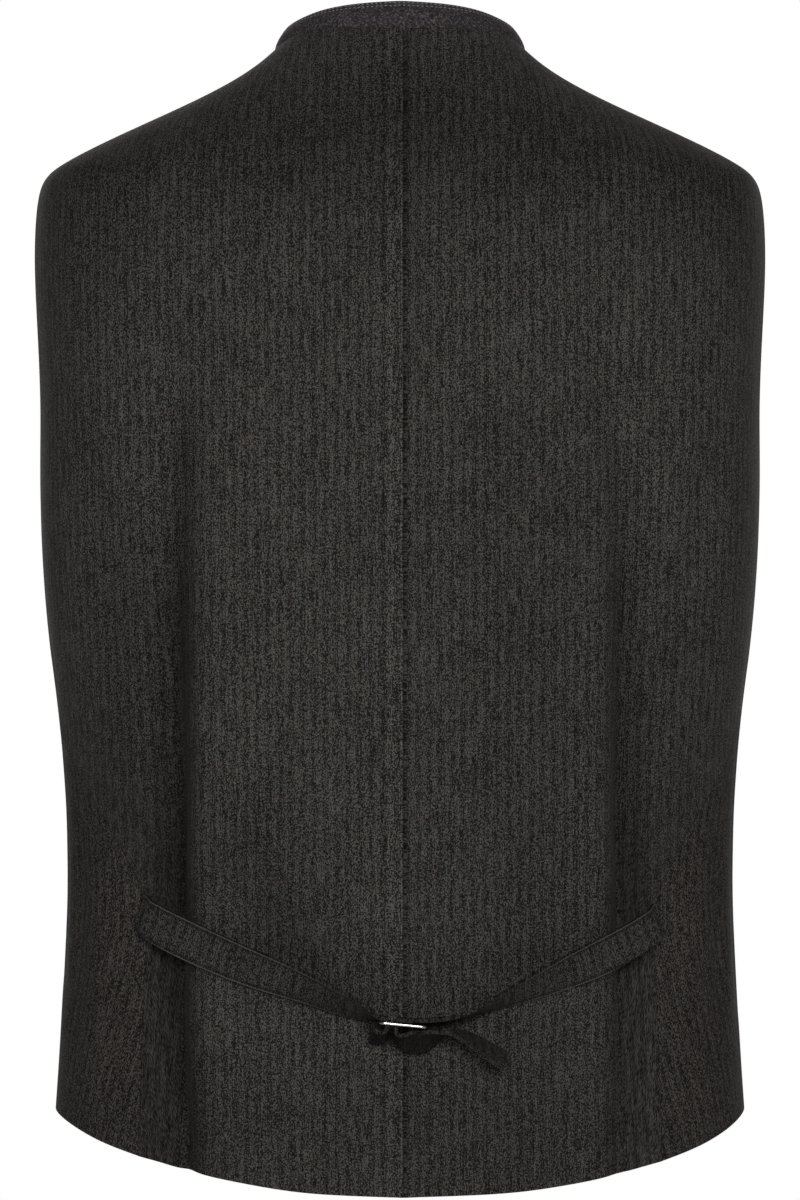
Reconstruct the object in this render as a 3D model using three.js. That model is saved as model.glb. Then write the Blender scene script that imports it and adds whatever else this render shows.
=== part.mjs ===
// Trachten vest: a men's folk waistcoat of heathered loden with a low felt stand collar, worn closed and seen
// filled out as on its wearer. Millimetres, +Z up. The wearer faces -Y, so +X is the wearer's left.
// The origin lies midway between the two shoulders, where the shoulder seams meet the collar.
import * as THREE from "three";

// ---------------------------------------------------------------- driving dimensions
const WALL = 2; // shell cloth with its backing
const SEAM_GAP = 0.3; // between two pieces that are sewn together
const SHOULDER_DROP = 64; // from the neck point down to the shoulder tip
const UNDERARM_DROP = 246; // down to the foot of the armhole
const HEM_DROP = 578; // down to the hem at the side
const RIGHT_HEM_SAG = 4.5; // degrees by which the hem's dip reaches further round on the wearer's right
const HEM_DIP_FADE = 120; // height over which the rows level out above the hem
const NECK_FADE_BACK = 70; // height over which the rows level out below the neckline
const NECK_FADE_FRONT = 190;
const FRONT_LAP = 15; // each front runs this far past the centre front
const LAP_LIFT = 1.3; // the left front is lifted and the right front sunk by this much at the lap
const LAP_BLEND = 30; // width over which that lift fades in
const FRONT_CORNER = 14; // radius of the front hem corners
const COLLAR_WALL = 2.6; // two layers of felt
const COLLAR_OPENING = 3; // half the gap between the collar ends
const COLLAR_CORNER = 9; // radius of the collar's front corners
const STRAP_THICK = 2.2; // two plies of shell cloth
const BUCKLE = { length: 25.4, width: 26.4, thick: 1.3, bar: 3, rail: 2.2 }; // slide plate
const BUCKLE_PLACE = { x: -1.6, z: -524, stand: 14.2, tilt: 86, slant: 5.5 }; // as in the strap tables
const BUTTON = { radius: 9, rim: 1.4, dome: 3.2, shank: 2.4, lift: 1.8, count: 7, first: 30, pitch: 80 };

// The worn form, in rows from the neck down: the plan of each row is two half superellipses that share
// the half width. "round" is their exponent: 2 is an ellipse, more is squarer.
const FORM = [
  { down: 0, halfWidth: 71.5, back: 62, front: 78, round: 2.1 },
  { down: 7, halfWidth: 80, back: 70, front: 84, round: 2.1 },
  { down: 14, halfWidth: 91, back: 76.5, front: 89, round: 2.15 },
  { down: 22, halfWidth: 107, back: 82.5, front: 94, round: 2.2 },
  { down: 30, halfWidth: 125.5, back: 87, front: 98.5, round: 2.25 },
  { down: 38, halfWidth: 144, back: 91, front: 102.5, round: 2.3 },
  { down: 46, halfWidth: 162.5, back: 94.5, front: 106, round: 2.35 },
  { down: 54, halfWidth: 179, back: 98, front: 109.5, round: 2.4 },
  { down: 61, halfWidth: 191, back: 100.2, front: 112, round: 2.5 },
  { down: 66, halfWidth: 196.8, back: 101.5, front: 114, round: 2.55 },
  { down: 80, halfWidth: 200.4, back: 104.5, front: 117, round: 2.6 },
  { down: 112, halfWidth: 201.6, back: 108.5, front: 121, round: 2.7 },
  { down: 150, halfWidth: 199.8, back: 111.5, front: 124, round: 2.75 },
  { down: 190, halfWidth: 198, back: 112.5, front: 126, round: 2.75 },
  { down: 246, halfWidth: 198.6, back: 111.5, front: 127.5, round: 2.7 },
  { down: 285, halfWidth: 197.2, back: 109.5, front: 128, round: 2.65 },
  { down: 330, halfWidth: 192.6, back: 106, front: 127, round: 2.6 },
  { down: 375, halfWidth: 188, back: 101.5, front: 125.5, round: 2.5 },
  { down: 420, halfWidth: 185.2, back: 98, front: 124, round: 2.45 },
  { down: 460, halfWidth: 184.6, back: 96.5, front: 123.5, round: 2.4 },
  { down: 500, halfWidth: 186.4, back: 98.5, front: 124, round: 2.4 },
  { down: 540, halfWidth: 188.4, back: 103, front: 126, round: 2.4 },
  { down: 578, halfWidth: 191, back: 108, front: 128.5, round: 2.4 },
];

// Height of the neckline above the shoulder's neck point, and the collar's upper edge, round from the
// centre back (0 degrees) to the centre front (180).
const NECKLINE = [
  { angle: 0, rise: 10.7, collarTop: 26.6 },
  { angle: 25, rise: 11.4, collarTop: 25.4 },
  { angle: 45, rise: 11, collarTop: 23.2 },
  { angle: 58, rise: 8.6, collarTop: 20.6 },
  { angle: 72, rise: 4.6, collarTop: 18 },
  { angle: 90, rise: 0, collarTop: 15.4 },
  { angle: 120, rise: -15, collarTop: 2 },
  { angle: 150, rise: -35, collarTop: -17 },
  { angle: 180, rise: -45, collarTop: -27 },
];
// How far the hem hangs below its height at the side, round from the centre back to the centre front.
const HEMLINE = [
  { angle: 0, dip: 38.5 },
  { angle: 24, dip: 36.6 },
  { angle: 41, dip: 31 },
  { angle: 55, dip: 22.6 },
  { angle: 69, dip: 12 },
  { angle: 79, dip: 3 },
  { angle: 88, dip: 0.4 },
  { angle: 112, dip: 6 },
  { angle: 145, dip: 21 },
  { angle: 180, dip: 28 },
];
const COLLAR_TOP = { halfWidth: 63, back: 54, front: 71, round: 2.1 };

// Where the panels end, as a place from front to back. The shoulder seam runs along the ridge (0), the back
// and the front part round the armhole, and they meet again in the side seam, which swings on to the back
// at the waist.
const ARMHOLE = [
  { down: 64, backY: 0, frontY: 0 },
  { down: 75, backY: 6, frontY: -12 },
  { down: 96, backY: 14, frontY: -32 },
  { down: 130, backY: 20, frontY: -50 },
  { down: 170, backY: 21, frontY: -60 },
  { down: 200, backY: 17, frontY: -58 },
  { down: 222, backY: 11, frontY: -46 },
  { down: 234, backY: 7, frontY: -33 },
  { down: 242, backY: 4, frontY: -18 },
  { down: 246, backY: 2, frontY: 2 },
];
const SIDE_SEAM = [
  { down: 246, y: 2 },
  { down: 300, y: 4 },
  { down: 340, y: 8 },
  { down: 362, y: 17 },
  { down: 388, y: 43 },
  { down: 415, y: 59 },
  { down: 452, y: 71 },
  { down: 505, y: 74 },
  { down: 578, y: 82 },
];

// The long folds that drop from below the shoulder blades, and softer ones under the chest. "line" is how
// far the fold's floor lies from the centre; "crest" is how proud the cloth stands beside it.
const BACK_FOLD = [
  { down: 0, line: 40, depth: 0, crest: 0 },
  { down: 30, line: 76, depth: 0, crest: 0 },
  { down: 64, line: 98, depth: 0, crest: 0 },
  { down: 112, line: 112, depth: 0.8, crest: 0 },
  { down: 180, line: 116, depth: 4.5, crest: 0.8 },
  { down: 285, line: 119, depth: 9, crest: 1.6 },
  { down: 375, line: 121, depth: 12.5, crest: 2.2 },
  { down: 450, line: 122, depth: 14, crest: 2.4 },
  { down: 505, line: 121, depth: 9, crest: 1.6 },
  { down: 578, line: 118, depth: 3.2, crest: 0.6 },
];
const FRONT_FOLD = [
  { down: 0, line: 36, depth: 0, crest: 0 },
  { down: 30, line: 66, depth: 0, crest: 0 },
  { down: 64, line: 88, depth: 0, crest: 0 },
  { down: 150, line: 98, depth: 0.5, crest: 0 },
  { down: 246, line: 100, depth: 2.5, crest: 0.8 },
  { down: 375, line: 101, depth: 5, crest: 1.2 },
  { down: 460, line: 103, depth: 6.5, crest: 1.4 },
  { down: 578, line: 104, depth: 4, crest: 0.8 },
];
const FOLD_WIDTH = { inner: 15, outer: 34, crest: 14 };
const RIGHT_FOLD_SHARE = 0.85; // the fold on the wearer's right is a little shallower

// Rows of every panel, and columns as shares of the way from the centre to the fold and on to the edge.
const ROWS = [
  0, 7, 15, 24, 34, 44, 53, 60, 65, 74, 90, 112, 138, 166, 192, 210, 222, 231, 238, 243, 246,
  266, 300, 332, 356, 372, 388, 408, 434, 462, 490, 518, 548, 578,
];
const BACK_COLUMNS = {
  toFold: [0, 0.16, 0.32, 0.48, 0.63, 0.76, 0.86, 0.935, 1],
  pastFold: [0.08, 0.18, 0.3, 0.44, 0.6, 0.79, 1],
};
const FRONT_COLUMNS = {
  toFold: [0, 0.08, 0.22, 0.4, 0.58, 0.76, 0.9, 1],
  pastFold: [0.08, 0.17, 0.27, 0.38, 0.49, 0.6, 0.7, 0.8, 0.9, 1],
};

// The belt's two straps hang slack from the side seams and turn round the buckle's bars: the left one ends
// there, and the right one comes back below it as the loose tail. "x" is measured from the centre back
// towards the strap's own seam, "stand" is the gap from the unfolded back to the strap's middle, and "tilt"
// is how far its upper edge has rolled outwards from upright.
const LEFT_STRAP = [
  { x: 142.4, z: -467, stand: 0.6, tilt: 0, width: 20 },
  { x: 130, z: -473.5, stand: 3, tilt: 0, width: 20.6 },
  { x: 116, z: -480, stand: 5.6, tilt: 2, width: 21 },
  { x: 84, z: -493.2, stand: 7.6, tilt: 14, width: 21 },
  { x: 51, z: -504.6, stand: 10.4, tilt: 38, width: 21 },
  { x: 32, z: -512.4, stand: 12.4, tilt: 51, width: 21 },
  { x: 18, z: -517.8, stand: 13.8, tilt: 66, width: 21 },
  { x: 11.5, z: -520.5, stand: 14.2, tilt: 84, width: 21 },
  { x: 8.1, z: -520.9, stand: 14.2, tilt: 86, width: 21 },
  { x: 7, z: -521.5, stand: 14.2, tilt: 86, width: 21 },
  { x: 6.6, z: -523.1, stand: 14.2, tilt: 86, width: 21 },
  { x: 6.8, z: -525.2, stand: 14.2, tilt: 86, width: 21 },
  { x: 7.4, z: -527.4, stand: 14.2, tilt: 82, width: 21 },
  { x: 9, z: -529.4, stand: 14.2, tilt: 73, width: 21 },
  { x: 12, z: -530.2, stand: 14, tilt: 67, width: 21 },
  { x: 15.5, z: -529.4, stand: 13.8, tilt: 66, width: 20 },
];
const RIGHT_STRAP = [
  { x: 142.4, z: -470.5, stand: 0.6, tilt: 0, width: 18 },
  { x: 124, z: -481.5, stand: 4.6, tilt: 6, width: 19.5 },
  { x: 105, z: -490.6, stand: 7.4, tilt: 18, width: 21 },
  { x: 91, z: -496.2, stand: 8.8, tilt: 29, width: 21 },
  { x: 78, z: -501.6, stand: 10, tilt: 42, width: 21 },
  { x: 66.5, z: -506.2, stand: 10.8, tilt: 53, width: 21 },
  { x: 57, z: -510, stand: 11.8, tilt: 63, width: 21 },
  { x: 45.5, z: -514.8, stand: 13, tilt: 74, width: 21 },
  { x: 34.5, z: -518.9, stand: 13.8, tilt: 82, width: 21 },
  { x: 22, z: -521.2, stand: 14.2, tilt: 86, width: 21 },
  { x: 8, z: -521.9, stand: 14.2, tilt: 86, width: 21 },
  { x: -0.4, z: -521.6, stand: 14.2, tilt: 86, width: 21 },
  { x: -1.8, z: -522.2, stand: 14.2, tilt: 86, width: 21 },
  { x: -2.3, z: -523.8, stand: 14.2, tilt: 86, width: 21 },
  { x: -2.3, z: -526.2, stand: 14.2, tilt: 86, width: 21 },
  { x: -1.8, z: -529.2, stand: 14.2, tilt: 78, width: 21 },
  { x: 0.6, z: -531.8, stand: 14.2, tilt: 66, width: 21 },
  { x: 5, z: -533.2, stand: 14.2, tilt: 57, width: 21 },
  { x: 11, z: -533, stand: 14.2, tilt: 56, width: 21 },
  { x: 17, z: -531, stand: 14.2, tilt: 64, width: 21 },
  { x: 22, z: -529.2, stand: 14.2, tilt: 78, width: 21 },
  { x: 26, z: -528, stand: 14.2, tilt: 88, width: 21 },
  { x: 34.5, z: -530.4, stand: 14, tilt: 100, width: 21 },
  { x: 45, z: -536.8, stand: 13.4, tilt: 110, width: 21 },
  { x: 56, z: -543.6, stand: 12.8, tilt: 115, width: 20.6 },
];
const STRAP_STEPS = 3; // sections between two rows of a strap table

// ---------------------------------------------------------------- finishes
const finish = (color, roughness, metalness = 0) =>
  new THREE.MeshStandardMaterial({ color, roughness, metalness });
const loden = finish(0x32302e, 0.95);
const felt = finish(0x37343a, 0.98);
const strapCloth = finish(0x2c2a28, 0.95);
const nickel = finish(0xc9c7c2, 0.28, 1);
const pewter = finish(0x6f6c68, 0.45, 0.9);

// ---------------------------------------------------------------- tables and small curves
// A column's value at a key between two rows: a smooth curve through the rows that never overshoots them.
function sample(rows, key, column, value) {
  const last = rows.length - 1;
  const sign = Math.sign(rows[last][key] - rows[0][key]);
  const keyed = (i) => rows[i][key] * sign;
  const at = Math.min(Math.max(value * sign, keyed(0)), keyed(last));
  let i = 0;
  while (i < last - 1 && keyed(i + 1) < at) i++;
  const slope = (k) => (rows[k + 1][column] - rows[k][column]) / (keyed(k + 1) - keyed(k));
  const tangent = (k) => {
    if (k === 0) return slope(0);
    if (k === last) return slope(last - 1);
    const before = slope(k - 1);
    const after = slope(k);
    return before * after <= 0 ? 0 : (2 * before * after) / (before + after);
  };
  const step = keyed(i + 1) - keyed(i);
  const t = (at - keyed(i)) / step;
  const from = rows[i][column];
  const climb = rows[i + 1][column] - from;
  const bend = (1 - t) * (tangent(i) * step - climb) - t * (tangent(i + 1) * step - climb);
  return from + climb * t + bend * t * (1 - t);
}

const clamp01 = (t) => Math.min(Math.max(t, 0), 1);
const ease = (t) => clamp01(t) ** 2 * (3 - 2 * clamp01(t));
const degrees = THREE.MathUtils.radToDeg;
const radians = THREE.MathUtils.degToRad;

// ---------------------------------------------------------------- the worn form
function section(down) {
  const value = (column) => sample(FORM, "down", column, down);
  return { halfWidth: value("halfWidth"), back: value("back"), front: value("front"), round: value("round") };
}

// A point of a section's outline at an angle from the centre back, positive towards the wearer's left.
function outline({ halfWidth, back, front, round }, angle) {
  const across = Math.sin(radians(angle));
  const along = Math.cos(radians(angle));
  const depth = along >= 0 ? back : front;
  const reach = (Math.abs(across / halfWidth) ** round + Math.abs(along / depth) ** round) ** (-1 / round);
  return new THREE.Vector2(across * reach, along * reach);
}

// The angles at which a section reaches a place across (x) or from front to back (y), on the left side.
function angleAtX(down, x, front) {
  const s = section(down);
  const y = (1 - clamp01(x / s.halfWidth) ** s.round) ** (1 / s.round) * (front ? -s.front : s.back);
  return degrees(Math.atan2(x, y));
}
function angleAtY(down, y) {
  const s = section(down);
  const x = s.halfWidth * (1 - clamp01(Math.abs(y) / (y < 0 ? s.front : s.back)) ** s.round) ** (1 / s.round);
  return degrees(Math.atan2(x, y));
}

// Height of a row at an angle: level in the middle, it follows the neckline above and the hemline below.
function rowHeight(angle, down) {
  const turn = Math.abs(angle) > 180 ? 360 - Math.abs(angle) : Math.abs(angle);
  const neckFade = turn < 90 ? NECK_FADE_BACK : NECK_FADE_FRONT;
  const neck = sample(NECKLINE, "angle", "rise", turn) * clamp01(1 - down / neckFade) ** 2;
  const sag = angle < 0 && turn < 90 ? RIGHT_HEM_SAG * Math.sin(radians(2 * turn)) : 0;
  const hem = sample(HEMLINE, "angle", "dip", turn - sag) * ease(1 - (HEM_DROP - down) / HEM_DIP_FADE);
  return -down + neck - hem;
}

// How far the cloth moves out (or in, below zero) at a fold, x from the centre.
function foldLift(x, down, front) {
  const rows = front ? FRONT_FOLD : BACK_FOLD;
  const value = (column) => sample(rows, "down", column, down);
  const past = Math.abs(x) - value("line");
  const floor = past < 0 ? ease(1 + past / FOLD_WIDTH.inner) : ease(1 - past / FOLD_WIDTH.outer);
  const crest = ease(1 - Math.abs(past + FOLD_WIDTH.inner) / FOLD_WIDTH.crest);
  return (value("crest") * crest - value("depth") * floor) * (x < 0 ? RIGHT_FOLD_SHARE : 1);
}

// A point of the vest's outer face, and its outward normal there.
function formPoint(angle, down, folded = true) {
  const s = section(down);
  const p = outline(s, angle);
  const depth = p.y >= 0 ? s.back : s.front;
  const normal = new THREE.Vector2(
    (Math.sign(p.x) * Math.abs(p.x) ** (s.round - 1)) / s.halfWidth ** s.round,
    (Math.sign(p.y) * Math.abs(p.y) ** (s.round - 1)) / depth ** s.round,
  ).normalize();
  if (folded) p.addScaledVector(normal, foldLift(p.x, down, p.y < 0));
  return new THREE.Vector3(p.x, p.y, rowHeight(angle, down));
}
function formNormal(angle, down) {
  const round = formPoint(angle + 0.4, down).sub(formPoint(angle - 0.4, down));
  const drop = formPoint(angle, Math.min(down + 1.5, HEM_DROP)).sub(formPoint(angle, Math.max(down - 1.5, 0)));
  return round.cross(drop).normalize();
}

// The point of the unfolded back at a given x and height, for what hangs in front of it.
function backAt(x, z) {
  let down = -z;
  let point = null;
  for (let pass = 0; pass < 12; pass++) {
    const angle = Math.sign(x) * angleAtX(down, Math.abs(x), false);
    point = formPoint(angle, down, false);
    down += point.z - z;
  }
  return point;
}

// ---------------------------------------------------------------- mesh helpers
function meshOf(name, material, vertices, faces) {
  const geometry = new THREE.BufferGeometry();
  geometry.setAttribute("position", new THREE.Float32BufferAttribute(vertices.flatMap((v) => v.toArray()), 3));
  geometry.setIndex(faces.flat());
  geometry.computeVertexNormals();
  const mesh = new THREE.Mesh(geometry, material);
  mesh.name = name;
  return mesh;
}

// A closed wall between an outer grid of points and the inner grid behind it, both as rows of columns.
// Each four-sided cell is split along its shorter diagonal.
function wall(name, material, outer, inner, flipped) {
  const points = [...outer.flat(), ...inner.flat()];
  const [rows, columns] = [outer.length, outer[0].length];
  const faces = [];
  const cell = (a, b, c, d) => {
    const cut = points[a].distanceTo(points[c]) <= points[b].distanceTo(points[d]);
    const halves = cut ? [[a, b, c], [a, c, d]] : [[b, c, d], [b, d, a]];
    faces.push(...halves.map((half) => (flipped ? half.reverse() : half)));
  };
  const out = (i, j) => i * columns + j;
  const back = (i, j) => rows * columns + out(i, j);
  for (let i = 0; i < rows - 1; i++)
    for (let j = 0; j < columns - 1; j++) {
      cell(out(i, j), out(i + 1, j), out(i + 1, j + 1), out(i, j + 1));
      cell(back(i, j), back(i, j + 1), back(i + 1, j + 1), back(i + 1, j));
    }
  const [bottom, end] = [rows - 1, columns - 1];
  for (let j = 0; j < end; j++) {
    cell(out(0, j), out(0, j + 1), back(0, j + 1), back(0, j));
    cell(out(bottom, j + 1), out(bottom, j), back(bottom, j), back(bottom, j + 1));
  }
  for (let i = 0; i < bottom; i++) {
    cell(out(i + 1, 0), out(i, 0), back(i, 0), back(i + 1, 0));
    cell(out(i, end), out(i + 1, end), back(i + 1, end), back(i, end));
  }
  return meshOf(name, material, points, faces);
}

// ---------------------------------------------------------------- back and front panels
// Where a panel's outer edge lies at one row, from front to back.
function edgeY(down, front) {
  if (down <= SHOULDER_DROP) return 0;
  if (down < UNDERARM_DROP) return sample(ARMHOLE, "down", front ? "frontY" : "backY", down);
  return sample(SIDE_SEAM, "down", "y", down);
}

// Angles of a panel's columns at one row, from the centre to the outer edge, on the wearer's left.
function columnAngles(down, front) {
  const line = sample(front ? FRONT_FOLD : BACK_FOLD, "down", "line", down);
  const centre = front ? 180 + degrees(FRONT_LAP / section(down).front) : 0;
  const fold = angleAtX(down, line, front);
  const edge = angleAtY(down, edgeY(down, front));
  const between = (from, to) => (t) => from + (to - from) * t;
  const { toFold, pastFold } = front ? FRONT_COLUMNS : BACK_COLUMNS;
  return [...toFold.map(between(centre, fold)), ...pastFold.map(between(fold, edge))];
}

// Moves an end column by half the seam gap, towards the panel's own middle.
function insetAngle(angle, down, towards) {
  const speed = formPoint(angle + 0.5, down).distanceTo(formPoint(angle - 0.5, down));
  return angle + (Math.sign(towards) * SEAM_GAP) / 2 / speed;
}

// How much a front's hem corner is rounded off, by the distance from its front edge.
function cornerRise(distance, radius) {
  const short = radius - Math.min(Math.max(distance, 0), radius);
  return radius - Math.sqrt(radius ** 2 - short ** 2);
}

function panel(name, side, front) {
  const lap = (p) => (front && p.y < 0 ? side * LAP_LIFT * ease(1 - (side * p.x - FRONT_LAP) / LAP_BLEND) : 0);
  const outer = [];
  const inner = [];
  for (const row of ROWS) {
    const angles = columnAngles(row, front);
    const last = angles.length - 1;
    if (!front) angles[0] = insetAngle(angles[0], row, 1);
    angles[last] = insetAngle(angles[last], row, front ? 1 : -1);
    const downs = angles.map((angle) => {
      if (!front) return row;
      const fromEdge = formPoint(angle, row).x + FRONT_LAP;
      return row - cornerRise(fromEdge, FRONT_CORNER) * ease(1 - (HEM_DROP - row) / HEM_DIP_FADE);
    });
    const points = angles.map((angle, j) => formPoint(side * angle, downs[j]));
    const normals = angles.map((angle, j) => formNormal(side * angle, downs[j]));
    outer.push(points.map((p, j) => p.clone().addScaledVector(normals[j], lap(p))));
    inner.push(points.map((p, j) => p.clone().addScaledVector(normals[j], lap(p) - WALL)));
  }
  return wall(name, loden, outer, inner, (side > 0) !== front);
}

// ---------------------------------------------------------------- stand collar
function collar() {
  const end = 180 - degrees(COLLAR_OPENING / COLLAR_TOP.front);
  const steps = 56;
  const outer = [[], [], [], []];
  const inner = [[], [], [], []];
  for (let j = 0; j <= steps; j++) {
    const angle = -end + (2 * end * j) / steps;
    const foot = formPoint(angle, 0, false);
    const rim = outline(COLLAR_TOP, angle);
    const fromEnd = (Math.min(j, steps - j) / steps) * 2 * radians(end) * COLLAR_TOP.front;
    const top = new THREE.Vector3(rim.x, rim.y, sample(NECKLINE, "angle", "collarTop", Math.abs(angle)));
    top.z -= cornerRise(fromEnd, COLLAR_CORNER) * (fromEnd < COLLAR_CORNER ? 1 : 0);
    const rise = top.clone().sub(foot);
    const tangent = formPoint(angle + 0.5, 0, false).sub(formPoint(angle - 0.5, 0, false));
    const normal = rise.clone().cross(tangent).normalize();
    foot.addScaledVector(rise.clone().normalize(), SEAM_GAP);
    [0, 0.35, 0.7, 1].forEach((share, i) => {
      const p = foot.clone().lerp(top, share).addScaledVector(normal, 1.1 * Math.sin(Math.PI * share));
      outer[3 - i].push(p);
      inner[3 - i].push(p.clone().addScaledVector(normal, -COLLAR_WALL));
    });
  }
  return wall("collar", felt, outer, inner, true);
}

// ---------------------------------------------------------------- back belt
// Sections of a strap that follows its table: a four-sided band with its width turned by the tilt.
function strap(name, rows, side) {
  const stations = [];
  for (let i = 0; i < rows.length - 1; i++)
    for (let k = 0; k < STRAP_STEPS; k++) stations.push(i + k / STRAP_STEPS);
  stations.push(rows.length - 1);
  const keyed = rows.map((row, i) => ({ ...row, station: i }));
  const value = (station, column) => sample(keyed, "station", column, station);
  const middle = (station) => {
    const p = backAt(side * value(station, "x"), value(station, "z"));
    p.y += value(station, "stand");
    return p;
  };
  const outer = [[], []];
  const inner = [[], []];
  stations.forEach((station) => {
    const centre = middle(station);
    const ahead = middle(Math.min(station + 0.25, rows.length - 1));
    const tangent = ahead.sub(middle(Math.max(station - 0.25, 0))).normalize();
    const tilt = radians(value(station, "tilt"));
    const up = new THREE.Vector3(0, Math.sin(tilt), Math.cos(tilt));
    up.addScaledVector(tangent, -up.dot(tangent)).normalize();
    const out = tangent.clone().cross(up).multiplyScalar(side);
    const half = value(station, "width") / 2;
    [1, -1].forEach((edge, i) => {
      outer[i].push(centre.clone().addScaledVector(up, edge * half).addScaledVector(out, STRAP_THICK / 2));
      inner[i].push(centre.clone().addScaledVector(up, edge * half).addScaledVector(out, -STRAP_THICK / 2));
    });
  });
  return wall(name, strapCloth, outer, inner, side < 0);
}

// A flat slide buckle: a rounded frame with a middle bar, lying in the plane of the rolled belt and hanging
// a little lower on the wearer's right.
function buckle() {
  const { length, width, thick, bar, rail } = BUCKLE;
  const { x, z, stand, tilt, slant } = BUCKLE_PLACE;
  const rounded = (shape, w, h, r, cx = 0) => {
    shape.moveTo(cx - w / 2 + r, -h / 2);
    shape.lineTo(cx + w / 2 - r, -h / 2);
    shape.absarc(cx + w / 2 - r, -h / 2 + r, r, -Math.PI / 2, 0);
    shape.absarc(cx + w / 2 - r, h / 2 - r, r, 0, Math.PI / 2);
    shape.absarc(cx - w / 2 + r, h / 2 - r, r, Math.PI / 2, Math.PI);
    shape.absarc(cx - w / 2 + r, -h / 2 + r, r, Math.PI, Math.PI * 1.5);
    return shape;
  };
  const slot = (length - 3 * bar) / 2;
  const frame = rounded(new THREE.Shape(), length, width, 3);
  for (const hand of [-1, 1])
    frame.holes.push(rounded(new THREE.Path(), slot, width - 2 * rail, 1, (hand * (slot + bar)) / 2));
  const geometry = new THREE.ExtrudeGeometry(frame, { depth: thick, bevelEnabled: false, curveSegments: 3 });
  geometry.translate(0, 0, -thick / 2);
  const mesh = new THREE.Mesh(geometry, nickel);
  mesh.name = "buckle";
  mesh.position.copy(backAt(x, z));
  mesh.position.y += stand;
  mesh.rotation.set(radians(90 - tilt), radians(-slant), 0);
  return mesh;
}

// ---------------------------------------------------------------- buttons
function button(index) {
  const { radius, rim, dome, shank, lift, first, pitch } = BUTTON;
  const profile = [
    [0, -lift], [shank, -lift], [shank, 0], [radius - 0.4, 0], [radius, 0.4], [radius, rim],
    [radius * 0.82, rim + dome * 0.4], [radius * 0.5, rim + dome * 0.82], [0, rim + dome],
  ].map(([r, h]) => new THREE.Vector2(r, h));
  const mesh = new THREE.Mesh(new THREE.LatheGeometry(profile, 18), pewter);
  mesh.name = `button_${index + 1}`;
  const down = first + pitch * index;
  const normal = formNormal(180, down);
  mesh.position.copy(formPoint(180, down)).addScaledVector(normal, LAP_LIFT + lift + SEAM_GAP);
  mesh.quaternion.setFromUnitVectors(new THREE.Vector3(0, 1, 0), normal);
  return mesh;
}

// ---------------------------------------------------------------- the vest
const vest = new THREE.Group();
for (const [hand, side] of [["left", 1], ["right", -1]]) {
  vest.add(panel(`back_${hand}`, side, false));
  vest.add(panel(`front_${hand}`, side, true));
}
vest.add(collar());
vest.add(strap("belt_left", LEFT_STRAP, 1));
vest.add(strap("belt_right", RIGHT_STRAP, -1));
vest.add(buckle());
for (let i = 0; i < BUTTON.count; i++) vest.add(button(i));

export default vest;
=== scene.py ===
import math

import bmesh
import bpy
import numpy as np
from mathutils import Matrix, Vector
from mathutils.geometry import barycentric_transform
from mathutils.bvhtree import BVHTree
from mathutils.kdtree import KDTree


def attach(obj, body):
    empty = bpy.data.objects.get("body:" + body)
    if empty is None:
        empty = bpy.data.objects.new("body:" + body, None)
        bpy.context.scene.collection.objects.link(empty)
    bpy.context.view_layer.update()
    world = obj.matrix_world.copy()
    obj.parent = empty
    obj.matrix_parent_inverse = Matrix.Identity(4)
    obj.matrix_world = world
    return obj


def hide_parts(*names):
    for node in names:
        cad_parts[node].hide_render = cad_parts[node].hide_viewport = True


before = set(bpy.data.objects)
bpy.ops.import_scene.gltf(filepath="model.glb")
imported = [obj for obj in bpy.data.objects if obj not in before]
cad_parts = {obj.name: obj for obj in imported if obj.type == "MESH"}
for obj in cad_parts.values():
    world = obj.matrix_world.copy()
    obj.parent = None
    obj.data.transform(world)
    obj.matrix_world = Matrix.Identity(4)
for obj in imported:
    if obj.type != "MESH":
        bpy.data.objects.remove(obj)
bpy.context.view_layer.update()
MM = 0.001


# ---------- camera, light and floor
# The vest is looked at from straight behind, at half its height, from far enough away that it looks flat.
# Two soft lights stand either side of the camera, the one on the wearer's right a little stronger. Two more
# light the front, and one the shoulders.
CAMERA_DISTANCE = 2.8
CAMERA_HEIGHT = -0.2986
VIEW_HEIGHT = 0.6636  # height of the view at the vest's middle
SENSOR = 36.0
VEST_MIDDLE = Vector((0, 0, -0.3))
SOFT_LIGHTS = (  # name, place, size and watts; all look at the vest's middle
    ("key_right", (-0.55, 3.1, 0.35), 0.8, 26),
    ("key_left", (0.4, 3.15, 0.3), 0.8, 21.5),
    ("front_left", (0.9, -3.1, 0.4), 1.6, 42),
    ("front_right", (-1.2, -3.0, 0.1), 1.6, 27),
    ("above", (0.2, -1.5, 2.3), 1.6, 14),
)
AMBIENT_STRENGTH = 0.045
WHITE = (1, 1, 1, 1)
FLOOR_HEIGHT = -0.95
FLOOR_RADIUS = 2.4

scene = bpy.context.scene
camera_data = bpy.data.cameras.new("camera")
camera_data.sensor_fit = "VERTICAL"
camera_data.sensor_height = SENSOR
camera_data.lens = SENSOR * CAMERA_DISTANCE / VIEW_HEIGHT
camera = bpy.data.objects.new("camera", camera_data)
camera.location = (0, CAMERA_DISTANCE, CAMERA_HEIGHT)
camera.rotation_euler = (math.radians(90), 0, math.radians(180))
scene.collection.objects.link(camera)
scene.camera = camera

for name, place, size, watts in SOFT_LIGHTS:
    light_data = bpy.data.lights.new(name, "AREA")
    light_data.shape = "SQUARE"
    light_data.size = size
    light_data.energy = watts
    light = bpy.data.objects.new(name, light_data)
    light.location = place
    light.rotation_euler = (VEST_MIDDLE - Vector(place)).to_track_quat("-Z", "Y").to_euler()
    scene.collection.objects.link(light)


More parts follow.
